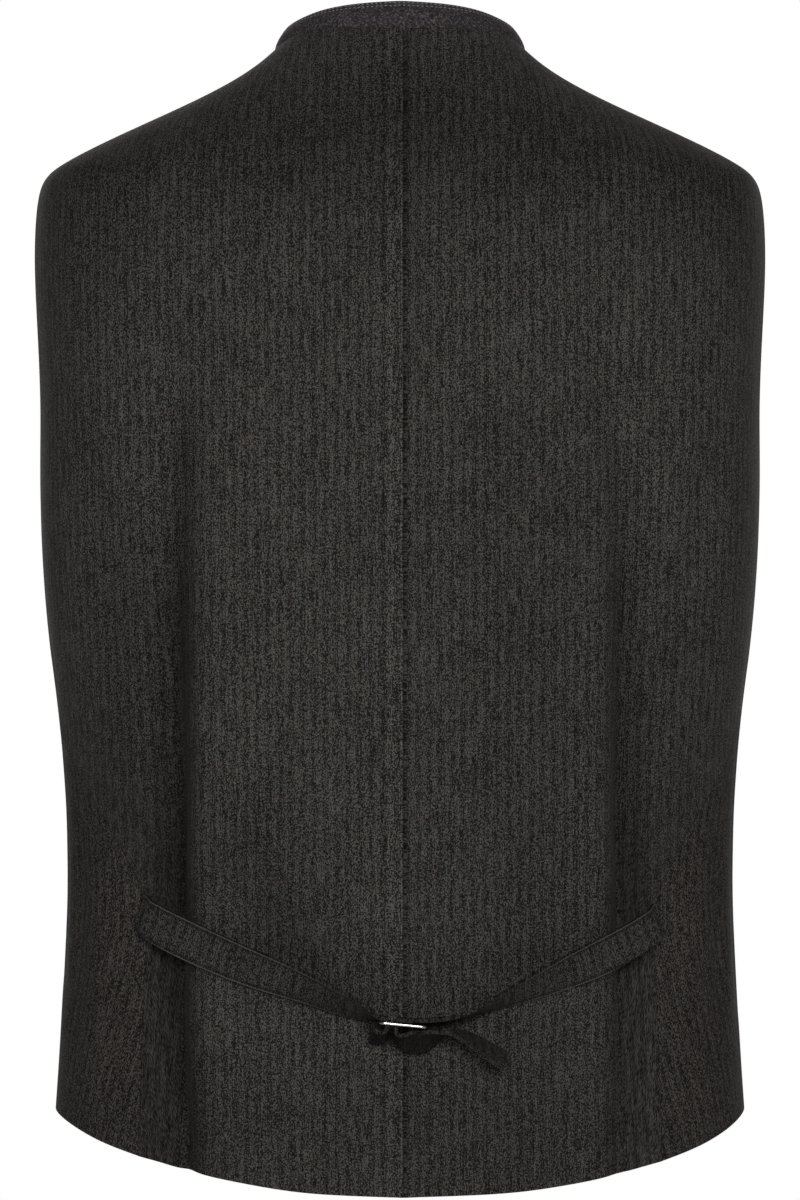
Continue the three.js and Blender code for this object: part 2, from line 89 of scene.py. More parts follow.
def add_node(tree, kind, values=None, **settings):
    """Adds a shader node. A value that is an output socket is linked, and any other is set."""
    made = tree.nodes.new(kind)
    for key, value in settings.items():
        setattr(made, key, value)
    for key, value in (values or {}).items():
        if isinstance(value, bpy.types.NodeSocket):
            tree.links.new(value, made.inputs[key])
        else:
            made.inputs[key].default_value = value
    return made


def new_material(name, values):
    """A material with one Principled shader and its even values, with its node tree and that shader."""
    material = bpy.data.materials.new(name)
    material.use_nodes = True
    tree = material.node_tree
    tree.nodes.clear()
    shader = add_node(tree, "ShaderNodeBsdfPrincipled", values)
    add_node(tree, "ShaderNodeOutputMaterial", {"Surface": shader.outputs[0]})
    return material, tree, shader


def object_from(bm, name, *materials):
    """Ends a bmesh as an object that sits at the origin, in the given materials."""
    mesh = bpy.data.meshes.new(name)
    bm.to_mesh(mesh)
    bm.free()
    for material in materials:
        mesh.materials.append(material)
    made = bpy.data.objects.new(name, mesh)
    scene.collection.objects.link(made)
    return made


# The sky is plain white to look at, and gives only a little even light.
studio = bpy.data.worlds.new("studio")
studio.use_nodes = True
sky = studio.node_tree
sky.nodes.clear()
seen = add_node(sky, "ShaderNodeBackground", {"Color": WHITE})
ambient = add_node(sky, "ShaderNodeBackground", {"Color": WHITE, "Strength": AMBIENT_STRENGTH})
ray = add_node(sky, "ShaderNodeLightPath")
choose = add_node(sky, "ShaderNodeMixShader",
                  {0: ray.outputs["Is Camera Ray"], 1: ambient.outputs[0], 2: seen.outputs[0]})
add_node(sky, "ShaderNodeOutputWorld", {"Surface": choose.outputs[0]})
scene.world = studio
scene.view_settings.view_transform = "Standard"

bm = bmesh.new()
bmesh.ops.create_circle(bm, cap_ends=True, radius=FLOOR_RADIUS, segments=64)
bm.transform(Matrix.Translation((0, 0, FLOOR_HEIGHT)))
floor_paper = new_material("floor_paper", {"Base Color": (0.8, 0.8, 0.79, 1), "Roughness": 0.9})[0]
object_from(bm, "floor", floor_paper)


# ---------- back and front panels
# Two back halves and two fronts of heathered wool loden with a pressed backing, 2 mm thick in all. They are
# sewn together down the centre back, along the shoulders and down the side seams, and hang on the shoulders.
CLOTH_THICK = 2.0 * MM
CLOTH_EDGE = 0.6 * MM  # how far its rim is rounded over
MERGE_DISTANCE = 0.004 * MM
SOFT_EDGE = math.radians(50)  # a panel's face turns less than this from cell to cell, and more at its rim
RIM_ANGLE = math.radians(55)  # a wall's edge that is sharper than this is rounded over
PANEL_FLATS = {
    "back_left": (0.25, 0.64), "back_right": (0.25, 0.64),
    "front_left": (0.34, 0.62), "front_right": (0.34, 0.62),
}


def merged_node(node):
    """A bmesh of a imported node, whose triangles come loose, with their corners merged."""
    bm = bmesh.new()
    bm.from_mesh(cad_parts[node].data)
    bmesh.ops.remove_doubles(bm, verts=bm.verts, dist=MERGE_DISTANCE)
    return bm


def outer_face(node):
    """A bmesh of the outer face of a node's wall, spread from the face that looks most outward."""
    bm = merged_node(node)
    bm.normal_update()

    def outwardness(face):
        middle = face.calc_center_median()
        return face.normal.dot(Vector((middle.x, middle.y, 0)).normalized())

    seed = max(bm.faces, key=outwardness)
    kept, front = {seed}, [seed]
    while front:
        face = front.pop()
        for edge in face.edges:
            for other in edge.link_faces:
                if other not in kept and face.normal.angle(other.normal) < SOFT_EDGE:
                    kept.add(other)
                    front.append(other)
    bmesh.ops.delete(bm, geom=[f for f in bm.faces if f not in kept], context="FACES")
    return bm


def rim_loop(bm, start):
    """The boundary's vertices in order, from a start."""
    loop, last, here = [start], None, start
    while True:
        steps = [e.other_vert(here) for e in here.link_edges if e.is_boundary]
        ahead = next((v for v in steps if v is not last), None)
        if ahead is start or ahead is None:
            return loop
        loop.append(ahead)
        last, here = here, ahead


def path_length(verts):
    return sum((b.co - a.co).length for a, b in zip(verts, verts[1:]))


def square_cells(bm, corner, foot):
    """Joins the wall's triangles back into four-sided cells, and returns its vertices as rows of columns.
    The first column runs down the boundary from the corner to the foot."""
    rim = [v for v in bm.verts if v.is_boundary]
    first, last = max(rim, key=corner), max(rim, key=foot)
    loop = rim_loop(bm, first)
    back = [loop[0]] + loop[:0:-1]
    if path_length(back[: back.index(last) + 1]) < path_length(loop[: loop.index(last) + 1]):
        loop, back = back, loop
    rows = loop.index(last)
    columns = len(loop) // 2 - rows + 1
    grid = [[None] * columns for _ in range(rows + 1)]
    grid[0] = back[:columns]
    for i in range(rows + 1):
        grid[i][0] = loop[i]
    used, diagonals = set(), []
    for i in range(rows):
        for j in range(columns - 1):
            a, b, d = grid[i][j], grid[i + 1][j], grid[i][j + 1]
            side = bm.edges.get((a, b))
            near = next(f for f in side.link_faces if f not in used)
            third = next(v for v in near.verts if v not in (a, b))
            cut = bm.edges.get((b, d)) if third is d else bm.edges.get((a, third))
            far = next(f for f in cut.link_faces if f is not near)
            if third is d:
                third = next(v for v in far.verts if v not in (b, d))
            grid[i + 1][j + 1] = third
            used.update((near, far))
            diagonals.append(cut)
    bmesh.ops.dissolve_edges(bm, edges=diagonals)
    return grid


def lay_flat(bm, grid, hanging=True, side=1):
    """Gives each vertex its place on the flat cloth, in metres: across from the first column, below zero on
    the wearer's right, and down from the first row, which keeps its own height where the cloth hangs."""
    place = {}
    for row in grid:
        across = 0.0
        for j, v in enumerate(row):
            if j:
                across += side * (v.co - row[j - 1].co).length
            place[v] = [across, 0.0]
    for j in range(len(grid[0])):
        down = grid[0][j].co.z if hanging else 0.0
        for i, row in enumerate(grid):
            if i:
                down -= (row[j].co - grid[i - 1][j].co).length
            place[row[j]][1] = down
    layer = bm.loops.layers.uv.new("cloth")
    for face in bm.faces:
        for loop in face.loops:
            loop[layer].uv = place[loop.vert]


def smooth_sheet(piece, levels):
    """Rounds a sheet's cells for good, so that creases can be pressed into it."""
    rounder = piece.modifiers.new("round", "SUBSURF")
    rounder.levels = rounder.render_levels = levels
    rounder.boundary_smooth = "PRESERVE_CORNERS"
    mesh = bpy.data.meshes.new_from_object(piece.evaluated_get(bpy.context.evaluated_depsgraph_get()))
    mesh.name = piece.name
    piece.modifiers.clear()
    piece.data = mesh
    piece.data.polygons.foreach_set("use_smooth", [True] * len(piece.data.polygons))


def points_of(mesh, name="co"):
    """The places of a mesh's points, or their normals, as an array of rows."""
    values = np.empty(len(mesh.vertices) * 3)
    mesh.vertices.foreach_get(name, values)
    return values.reshape(-1, 3)


def move_points(piece, points):
    piece.data.vertices.foreach_set("co", points.ravel())
    piece.data.update()


def thicken(piece, thickness, edge):
    """Gives a sheet its wall, inwards from the outer face, with its rim rounded over an edge's width."""
    wall = piece.modifiers.new("wall", "SOLIDIFY")
    wall.thickness = thickness
    wall.offset = -1
    rim = piece.modifiers.new("turned_edge", "BEVEL")
    rim.limit_method = "ANGLE"
    rim.angle_limit = RIM_ANGLE
    rim.width = edge
    rim.segments = 2


def ramp(tree, value, start, end, low=0.0, high=1.0):
    """Runs from low to high while a value goes from start to end, and holds there."""
    values = {"Value": value, "From Min": start, "From Max": end, "To Min": low, "To Max": high}
    return add_node(tree, "ShaderNodeMapRange", values).outputs[0]


def band(tree, value, middle, reach):
    """1 where a value lies within reach of the middle, and 0 elsewhere."""
    return add_node(tree, "ShaderNodeMath", {0: value, 1: middle, 2: reach}, operation="COMPARE").outputs[0]


def mix_colors(tree, share, first, second, blend="MIX"):
    """The first colour where the share is 0, and the second, or its blend with the first, where it is 1."""
    return add_node(tree, "ShaderNodeMix", {0: share, 6: first, 7: second},
                    data_type="RGBA", blend_type=blend).outputs[2]


def shader_group(name, inputs, outputs):
    """A node group with sockets given by name and kind. Returns it with its own inputs."""
    group = bpy.data.node_groups.new(name, "ShaderNodeTree")
    for in_out, sockets in (("INPUT", inputs), ("OUTPUT", outputs)):
        for key, kind in sockets.items():
            group.interface.new_socket(key, in_out=in_out, socket_type="NodeSocket" + kind)
    return group, add_node(group, "NodeGroupInput").outputs


FLOAT_WIDTH, FLOAT_LENGTH = 0.44 * MM, 0.62 * MM  # one float of yarn on the cloth's face
HERRINGBONE_WIDTH = 6.1 * MM
TWILL_RISE = 1.7 * MM
TWILL_SLANT = 3.6  # ribs that the twill climbs across a whole herringbone


def heathered_weave():
    """Shader group: a dense herringbone of mixed light and dark wool, laid on the flat cloth in metres."""
    group, given = shader_group("heathered_weave",
                                {"Cloth": "Vector", "Dark": "Color", "Middle": "Color", "Light": "Color"},
                                {"Color": "Color", "Height": "Float"})

    def math_node(operation, *values):
        return add_node(group, "ShaderNodeMath", dict(enumerate(values)), operation=operation).outputs[0]

    def noise(scale_across, scale_down, detail, roughness=0.6, shift=0.0):
        """Smooth noise on the flat cloth, with so many grains to a millimetre each way."""
        placed = add_node(group, "ShaderNodeMapping",
                          {"Vector": given["Cloth"], "Location": (shift, shift, 0),
                           "Scale": (scale_across / MM, scale_down / MM, 1)})
        values = {"Vector": placed.outputs[0], "Scale": 1.0, "Detail": detail, "Roughness": roughness}
        return add_node(group, "ShaderNodeTexNoise", values, noise_dimensions="2D").outputs["Fac"]

    def swing(value, amount, middle):
        return math_node("MULTIPLY", math_node("SUBTRACT", value, middle), amount)

    split = add_node(group, "ShaderNodeSeparateXYZ", {0: given["Cloth"]})
    drift = swing(noise(0.25, 0.12, 2), 0.5, 0.5)
    across = math_node("ADD", math_node("DIVIDE", split.outputs[0], HERRINGBONE_WIDTH), drift)
    turn = math_node("PINGPONG", across, 0.5)  # 0 to 0.5 and back: the twill turns round at each end
    down = math_node("DIVIDE", split.outputs[1], TWILL_RISE)
    rise = math_node("ADD", down, math_node("MULTIPLY", turn, TWILL_SLANT))
    twill = math_node("SINE", math_node("MULTIPLY", rise, 2 * math.pi))
    stripe = math_node("COSINE", math_node("MULTIPLY", across, 2 * math.pi))
    grain = noise(1.35, 1.05, 1, 0.6, 7.3)
    yarn = noise(1.8, 0.06, 1, 0.6)  # single yarns run down the cloth and come and go over 15 mm
    worn = noise(0.035, 0.02, 3, 0.5, 3.1)

    # Each float of yarn on the face is a small cell of its own tone, staggered from its neighbours.
    cell_across = math_node("FLOOR", math_node("DIVIDE", split.outputs[0], FLOAT_WIDTH))
    stagger = add_node(group, "ShaderNodeTexWhiteNoise", {"W": cell_across}, noise_dimensions="1D")
    cell_down = math_node("DIVIDE", split.outputs[1], FLOAT_LENGTH)
    cell_down = math_node("FLOOR", math_node("ADD", cell_down, stagger.outputs["Value"]))
    cell = add_node(group, "ShaderNodeCombineXYZ", {0: cell_across, 1: cell_down})
    floats = add_node(group, "ShaderNodeTexWhiteNoise", {"Vector": cell.outputs[0]}, noise_dimensions="2D")

    # How far each of these swings the wool from dark to light, and its own middle.
    tone = 0.5
    for value, amount, middle in (
            (grain, 2.7, 0.5), (yarn, 1.9, 0.5), (floats.outputs["Value"], 1.7, 0.5),
            (worn, 0.35, 0.5), (twill, 0.07, 0.0), (stripe, 0.16, 0.0)):
        tone = math_node("ADD", tone, swing(value, amount, middle))
    shade = mix_colors(group, ramp(group, tone, 0.0, 0.5), given["Dark"], given["Middle"])
    shade = mix_colors(group, ramp(group, tone, 0.5, 1.15), shade, given["Light"])

    # Stray dyed wool shows as faint specks of a redder and a greener cast.
    red = ramp(group, noise(0.3, 0.2, 1, 0.5, 11.0), 0.55, 0.7, high=0.6)
    green = ramp(group, noise(0.26, 0.18, 1, 0.5, 23.0), 0.56, 0.72, high=0.6)
    shade = mix_colors(group, red, shade, (1.12, 0.96, 0.98, 1), "MULTIPLY")
    shade = mix_colors(group, green, shade, (1.0, 1.03, 0.93, 1), "MULTIPLY")

    height = math_node("ADD", swing(grain, 1.4, 0.5), swing(yarn, 0.8, 0.5))
    height = math_node("ADD", height, swing(twill, 0.25, 0.0))
    add_node(group, "NodeGroupOutput", {"Color": shade, "Height": height})
    return group


WEAVE = heathered_weave()


def loden_material(name, colors, sheen, laid=True):
    """The weave in dark, middle and light wool, laid on the flat cloth or straight through a cut edge."""
    material, tree, shader = new_material(name, {
        "Roughness": 0.92, "Specular IOR Level": 0.18,
        "Sheen Weight": sheen, "Sheen Roughness": 0.45, "Sheen Tint": (0.75, 0.72, 0.7, 1)})
    if laid:
        cloth = add_node(tree, "ShaderNodeUVMap", uv_map="cloth")
    else:
        place = add_node(tree, "ShaderNodeTexCoord")
        place = add_node(tree, "ShaderNodeSeparateXYZ", {0: place.outputs["Object"]})
        deep = add_node(tree, "ShaderNodeMath", {0: place.outputs[1], 1: place.outputs[2]}, operation="ADD")
        cloth = add_node(tree, "ShaderNodeCombineXYZ", {0: place.outputs[0], 1: deep.outputs[0]})
    weave = add_node(tree, "ShaderNodeGroup", node_tree=WEAVE)
    tree.links.new(cloth.outputs[0], weave.inputs["Cloth"])
    for key, color in zip(("Dark", "Middle", "Light"), colors):
        weave.inputs[key].default_value = (*color, 1)
    bump = add_node(tree, "ShaderNodeBump",
                    {"Height": weave.outputs["Height"], "Strength": 0.6, "Distance": 0.25 * MM})
    tree.links.new(weave.outputs["Color"], shader.inputs["Base Color"])
    tree.links.new(bump.outputs[0], shader.inputs["Normal"])
    return material


def tint(material, mask, color, blend="MULTIPLY"):
    """Multiplies a material's colour by another where a mask says, or blends the two."""
    tree = material.node_tree
    shader = next(n for n in tree.nodes if n.type == "BSDF_PRINCIPLED")
    under = shader.inputs["Base Color"].links[0].from_socket
    tree.links.new(mix_colors(tree, mask, under, (*color, 1), blend), shader.inputs["Base Color"])


def attribute_of(tree, name):
    made = add_node(tree, "ShaderNodeAttribute", attribute_name=name, attribute_type="GEOMETRY")
    return made.outputs["Fac"]


def shade_seams(material):
    """Paints shade on the cloth where it turns down into a sewn seam, darker the nearer it is to the seam.
    """
    tree = material.node_tree
    mask = ramp(tree, attribute_of(tree, "to_seam"), 0.35 * MM, 1.0 * MM, 0.9, 0.0)
    tint(material, mask, (0.72, 0.71, 0.71))


# Dark, middle and light wool. The fronts are painted darker than the back as shade, and are a little warmer.
BACK_COLORS = ((0.011, 0.0098, 0.0088), (0.030, 0.0265, 0.0245), (0.125, 0.117, 0.108))
SHADED_FRONT_COLORS = ((0.0087, 0.0074, 0.0066), (0.0237, 0.02, 0.0183), (0.099, 0.0885, 0.0805))
LODEN_FRONT_SHADED = loden_material("loden", SHADED_FRONT_COLORS, sheen=0.03)
shade_seams(LODEN_FRONT_SHADED)


def flat_lookup(piece):
    """Finds the point and the outward direction of a sheet at a place on its flat cloth."""
    mesh = piece.data
    mesh.calc_loop_triangles()
    layer = mesh.uv_layers["cloth"].data
    corners = [[Vector((*layer[i].uv, 0)) for i in tri.loops] for tri in mesh.loop_triangles]
    flat = BVHTree.FromPolygons([c for tri in corners for c in tri],
                                [(3 * i, 3 * i + 1, 3 * i + 2) for i in range(len(corners))])
    triangles = [[mesh.vertices[i].co.copy() for i in tri.vertices] for tri in mesh.loop_triangles]
    normals = [[mesh.vertices[i].normal.copy() for i in tri.vertices] for tri in mesh.loop_triangles]

    def find(across, down):
        spot, _, index, _ = flat.find_nearest(Vector((across, down, 0)))
        point = barycentric_transform(spot, *corners[index], *triangles[index])
        normal = barycentric_transform(spot, *corners[index], *normals[index])
        return point, normal.normalized()

    return find


# Soft creases, pressed after the cloth is rounded. Each is a run of places, and a place is how far across it
# is (on the vest's two faces) or how far back (on its sides), its height, its width and its depth there, all
# in millimetres. A depth below zero is a ridge.
CREASES = {
    "back": [
        # the long folds, let down to the hem: first the slope that leads in, then the floor
        [(104, -165, 12, 0.0), (105, -235, 12, -0.4), (106, -330, 13, -0.7), (107, -440, 13, -0.8),
         (106, -520, 13, -0.7), (105, -606, 13, -0.5)],
        [(119, -165, 9, 0.0), (122, -235, 11, 3.0), (124, -330, 12, 5.6), (125, -440, 12, 6.2),
         (124, -520, 12, 5.6), (122, -606, 12, 4.8)],
        [(-104, -165, 12, 0.0), (-106, -235, 12, -0.6), (-108, -330, 13, -1.0), (-108, -440, 13, -1.2),
         (-108, -520, 13, -0.6), (-108, -606, 13, -0.4)],
        [(-118, -165, 9, 0.0), (-121, -235, 11, 2.4), (-123, -330, 12, 4.4), (-124, -440, 12, 5.2),
         (-125, -520, 12, 3.6), (-124, -606, 12, 2.6)],
        # from the right blade down into the long fold, and its twin on the left
        [(-84, -78, 22, 0.0), (-98, -130, 20, 1.0), (-106, -190, 17, 1.6), (-111, -260, 15, 0.0)],
        [(80, -84, 24, 0.0), (95, -138, 20, 1.1), (104, -205, 16, 1.6), (110, -280, 14, 0.0)],
        # under the armholes
        [(-176, -196, 16, 0.0), (-160, -244, 18, 1.6), (-150, -310, 20, 1.1), (-146, -380, 18, 0.0)],
        [(178, -190, 16, 0.0), (163, -236, 18, 1.5), (154, -300, 22, 1.2), (148, -372, 18, 0.0)],
        # slack between the blades and the waist
        [(-62, -236, 20, 0.0), (-60, -300, 16, 0.9), (-55, -380, 16, 1.2), (-54, -452, 18, 0.0)],
        [(-30, -300, 14, 0.0), (-33, -370, 13, -0.7), (-34, -440, 14, 0.0)],
        [(58, -262, 18, 0.0), (62, -330, 16, 1.0), (66, -400, 17, 1.1), (68, -462, 16, 0.0)],
        [(34, -330, 15, 0.0), (30, -400, 13, 0.8), (33, -470, 14, 0.0)],
        # drawn towards the ends of the belt
        [(140, -470, 9, 0.4), (128, -452, 13, 1.5), (118, -418, 14, 0.7), (112, -380, 14, 0.0)],
        [(-138, -474, 9, 0.0), (-127, -452, 12, 0.9), (-119, -410, 15, 0.6), (-113, -372, 14, 0.0)],
        [(96, -500, 16, 0.0), (84, -540, 15, 1.2), (78, -590, 18, 0.6), (76, -616, 18, 0.3)],
        [(-92, -506, 16, 0.0), (-83, -548, 15, 1.0), (-80, -600, 18, 0.4)],
        [(30, -540, 16, 0.0), (36, -575, 15, 0.9), (38, -614, 17, 0.5)],
        [(-40, -536, 16, 0.0), (-44, -574, 14, -0.8), (-45, -614, 16, -0.4)],
    ],
    "front": [
        # from the armholes to the waist, then slack over the stomach
        [(84, -120, 20, 0.0), (94, -190, 20, 1.6), (98, -270, 17, 1.8), (100, -350, 16, 0.0)],
        [(-82, -126, 20, 0.0), (-92, -196, 20, 1.5), (-97, -280, 17, 1.8), (-99, -360, 16, 0.0)],
        [(52, -300, 18, 0.0), (55, -380, 16, 1.2), (58, -460, 18, 0.0)],
        [(-50, -290, 18, 0.0), (-56, -370, 16, 1.3), (-58, -450, 18, 0.0)],
        [(44, -500, 18, 0.0), (46, -550, 17, 1.2), (48, -600, 20, 0.5)],
        [(-46, -494, 18, 0.0), (-49, -546, 17, 1.1), (-50, -600, 20, 0.6)],
        # drawn to the closing edge, and down in front of the side seams
        [(30, -200, 14, 0.0), (22, -203, 12, 0.8), (17, -190, 10, 0.0)],
        [(128, -330, 18, 0.0), (134, -420, 17, 1.4), (138, -520, 18, 0.8), (140, -590, 20, 0.4)],
        [(-130, -322, 18, 0.0), (-135, -412, 17, 1.5), (-138, -510, 18, 0.8), (-140, -590, 20, 0.4)],
    ],
    "left": [
        [(20, -300, 12, 0.0), (14, -350, 12, 1.3), (10, -420, 13, 1.6), (12, -500, 14, 1.2),
         (14, -590, 16, 0.5)],
        [(44, -400, 10, 0.0), (40, -440, 11, 1.4), (40, -500, 12, 1.6), (44, -560, 14, 0.8),
         (46, -600, 14, 0.3)],
        [(-18, -270, 14, 0.0), (-22, -340, 14, 1.5), (-24, -430, 15, 1.2), (-24, -540, 16, 0.5)],
        [(58, -470, 9, 0.0), (57, -510, 9, -0.9), (60, -556, 10, -0.5), (62, -600, 10, 0.0)],
    ],
    "right": [
        [(18, -306, 12, 0.0), (13, -362, 12, 1.4), (12, -436, 13, 1.4), (13, -520, 14, 1.1),
         (15, -592, 16, 0.4)],
        [(46, -408, 10, 0.0), (42, -450, 11, 1.2), (43, -520, 12, 1.5), (46, -590, 14, 0.5)],
        [(-20, -280, 14, 0.0), (-25, -352, 14, 1.4), (-26, -446, 15, 1.3), (-24, -550, 16, 0.4)],
        [(60, -466, 9, 0.0), (59, -506, 9, -0.8), (62, -560, 10, -0.4), (64, -600, 10, 0.0)],
    ],
}
# Painted shade where the cloth hangs hollow and where less light falls on it. Places and widths are as for
# the creases, and the last number is how much darker the cloth is painted there.
PAINTED_SHADE = {
    "back": [
        # the floors of the two long folds, and the slack cloth outside them
        [(116, -165, 14, 0.0), (117, -235, 17, 0.3), (117, -330, 19, 0.6), (118, -440, 20, 0.66),
         (118, -520, 20, 0.6), (117, -606, 20, 0.5)],
        [(-118, -200, 13, 0.0), (-120, -330, 17, 0.35), (-122, -440, 18, 0.5), (-122, -520, 18, 0.28),
         (-121, -606, 18, 0.22)],
        [(144, -230, 34, 0.0), (146, -310, 42, 0.28), (148, -420, 46, 0.34), (150, -520, 46, 0.36),
         (150, -606, 46, 0.3)],
        [(-146, -250, 34, 0.0), (-148, -330, 42, 0.18), (-148, -440, 46, 0.25), (-150, -606, 46, 0.15)],
        # over the belt, down the right half, across the yoke and along the hem
        [(92, -390, 34, 0.0), (78, -440, 44, 0.26), (56, -484, 36, 0.34), (30, -500, 26, 0.1)],
        [(-66, -150, 60, 0.0), (-70, -260, 70, 0.14), (-70, -460, 70, 0.18), (-64, -606, 60, 0.14)],
        [(180, -52, 74, 0.3), (0, -46, 80, 0.4), (-180, -52, 74, 0.34)],
        [(140, -580, 50, 0.12), (0, -585, 60, 0.16), (-140, -580, 50, 0.12)],
        # painted shadow behind the buckle
        [(13, -529, 8, 0.7), (2, -532, 9, 0.85), (-12, -532, 9, 0.7)],
    ],
}
LOOK_FROM = {"back": (0, 1), "front": (0, -1), "left": (1, 0), "right": (-1, 0)}
OUTLINE_DEPTH = 0.1  # a place just off the vest's outline takes the cloth nearest to a point this far out
PATH_FALL = 1.6  # how fast a path fades across its width


def paths_on(pieces, drawn):
    """Lays the paths drawn on the vest's faces onto its cloth: point, width and amount at each place."""
    verts, faces = [], []
    for piece in pieces:
        start = len(verts)
        verts += [v.co.copy() for v in piece.data.vertices]
        faces += [[start + i for i in face.vertices] for face in piece.data.polygons]
    skin = BVHTree.FromPolygons(verts, faces)
    paths = []
    for face_name, lines in drawn.items():
        out = Vector((*LOOK_FROM[face_name], 0))
        along = Vector((0, 1, 0)) if out.x else Vector((1, 0, 0))
        for line in lines:
            spots = []
            for place, height, width, amount in line:
                spot = along * place * MM + Vector((0, 0, height * MM))
                hit = skin.ray_cast(spot + out, -out)[0] or skin.find_nearest(spot + out * OUTLINE_DEPTH)[0]
                spots.append((*hit, width * MM, amount))
            paths.append(np.array(spots))
    return paths


def ease(t):
    """Goes from 0 to 1 with a soft start and end."""
    t = np.clip(t, 0, 1)
    return t * t * (3 - 2 * t)


def spread(points, spots):
    """How much of a path's amount reaches each point, fading to the path's sides and ends."""
    best = np.full(len(points), np.inf)
    reached = np.zeros(len(points))
    for a, b in zip(spots, spots[1:]):
        step = b[:3] - a[:3]
        share = np.clip((points - a[:3]) @ step / (step @ step), 0, 1)
        gap = np.linalg.norm(points - a[:3] - share[:, None] * step, axis=1)
        width = a[3] + (b[3] - a[3]) * share
        amount = a[4] + (b[4] - a[4]) * ease(share)
        reached = np.where(gap < best, amount * np.exp(-((PATH_FALL * gap / width) ** 2)), reached)
        best = np.minimum(best, gap)
    return reached


def press_creases(pieces):
    """Moves the cloth in along the creases, and gives each point its painted shade from the shade paths."""
    creases, shade_paths = paths_on(pieces, CREASES), paths_on(pieces, PAINTED_SHADE)
    for piece in pieces:
        points, normals = points_of(piece.data), points_of(piece.data, "normal")
        push = sum(spread(points, spots) for spots in creases) * MM
        shade = 1 - np.prod([1 - spread(points, spots) for spots in shade_paths], axis=0)
        piece.data.attributes.new("painted_shade", "FLOAT", "POINT").data.foreach_set("value", shade)
        move_points(piece, points - normals * push[:, None])


SEAM_REACH = 0.8 * MM  # an edge that has another panel nearer than this is sewn to it
SEAM_SHARE = 0.52  # how much of the gap each side crosses
SEAM_FAR = 20 * MM  # distances from a seam are kept up to this


def close_seams(pieces):
    """Draws the panels' edges together where they are sewn, and gives each point its distance from the
    nearest of those edges."""
    skins = [BVHTree.FromPolygons([v.co.copy() for v in piece.data.vertices],
                                  [list(face.vertices) for face in piece.data.polygons]) for piece in pieces]
    for number, piece in enumerate(pieces):
        sewn = []
        bm = bmesh.new()
        bm.from_mesh(piece.data)
        for v in bm.verts:
            if v.is_boundary:
                found = [skin.find_nearest(v.co, SEAM_REACH) for skin in skins[:number] + skins[number + 1:]]
                near = min((f for f in found if f[0]), key=lambda f: f[3], default=None)
                if near:
                    v.co = v.co.lerp(near[0], SEAM_SHARE)
                    sewn.append(v.co.copy())
        seam = KDTree(len(sewn))
        for i, co in enumerate(sewn):
            seam.insert(co, i)
        seam.balance()
        gaps = [min(seam.find(v.co)[2], SEAM_FAR) for v in bm.verts]
        bm.to_mesh(piece.data)
        bm.free()
        piece.data.attributes.new("to_seam", "FLOAT", "POINT").data.foreach_set("value", gaps)


panels = {}
for name in PANEL_FLATS:
    side = 1 if name.endswith("left") else -1
    bm = outer_face(name)
    # The first column is the panel's edge at the middle, from the neckline's corner down to the hem's.
    grid = square_cells(bm, lambda v: v.co.z - side * v.co.x, lambda v: -v.co.z - 4 * side * v.co.x)
    lay_flat(bm, grid, side=side)
    panels[name] = object_from(bm, name + "_cloth")
    smooth_sheet(panels[name], 3)
close_seams(list(panels.values()))
press_creases(list(panels.values()))


# ---------- centre back seam
# The back halves meet in a plain seam down the middle. Both turnings are pressed to the wearer's left, so
# the cloth stands up over them in a narrow band there, and drops into the seam on its other side.
MIDDLE_REACH = 0.2 * MM  # the halves' sewn edges lie this near the middle
SEAM_SHIFT = 1.8 * MM  # the seam is then moved this far to the wearer's right
SEAM_BLEND = 14 * MM
TURNING_WIDTH = 8.5 * MM
TURNING_RISE = 0.7 * MM
TURNING_SLOPE = 1.4 * MM
UNDER_STEPS = ((0.5 * MM, -1.9 * MM, 0), (4.5 * MM, -0.4 * MM, 0))  # how the right turning runs on
SEAM_SINK = {"back_left": (1.1 * MM, 0.9 * MM), "back_right": (1.0 * MM, 2.4 * MM)}  # depth and width
SEAM_CUTS = (0.5, 1.1, 1.9, 3, 5, 7, 8, 8.7, 9.4, 10.4)  # extra rows of points, mm from the middle
# Painted light and shade along the seam: lighter where it stands up, darker where it drops away.
SEAM_LIGHT_AND_SHADE = (  # middle and reach, mm across the flat cloth, and how bright the cloth is painted there
    (4.9, 3.7, 1.08),  # painted light over the turnings
    (9.1, 0.5, 0.84),  # painted shade at their foot
    (0.75, 0.4, 1.5),  # painted highlight on the left half's rolled edge
    (-1.4, 1.3, 0.84),  # painted shade beside it on the right half
)

for name, (sink, sink_width) in SEAM_SINK.items():
    side = 1 if name == "back_left" else -1
    piece = panels[name]
    bm = bmesh.new()
    bm.from_mesh(piece.data)
    if side < 0:  # no light comes through where its turning runs on
        sewn = [e for e in bm.edges if e.is_boundary and all(abs(v.co.x) < MIDDLE_REACH for v in e.verts)]
        for step in UNDER_STEPS:
            grown = bmesh.ops.extrude_edge_only(bm, edges=sewn)["geom"]
            bmesh.ops.translate(bm, verts=[v for v in grown if isinstance(v, bmesh.types.BMVert)], vec=step)
            sewn = [e for e in grown if isinstance(e, bmesh.types.BMEdge) and e.is_boundary
                    and all(v in grown for v in e.verts)]
    for cut in SEAM_CUTS:
        bmesh.ops.bisect_plane(bm, geom=bm.verts[:] + bm.edges[:] + bm.faces[:],
                               plane_co=(side * cut * MM, 0, 0), plane_no=(1, 0, 0))
    bm.to_mesh(piece.data)
    bm.free()
    points, normals = points_of(piece.data), points_of(piece.data, "normal")
    out = side * points[:, 0]
    rise = -sink * ease(1 - out / sink_width)
    if side > 0:
        rise += TURNING_RISE * ease((TURNING_WIDTH + TURNING_SLOPE / 2 - out) / TURNING_SLOPE)
    points += normals * rise[:, None]
    points[:, 0] -= SEAM_SHIFT * ease(1 - out / SEAM_BLEND)
    move_points(piece, points)

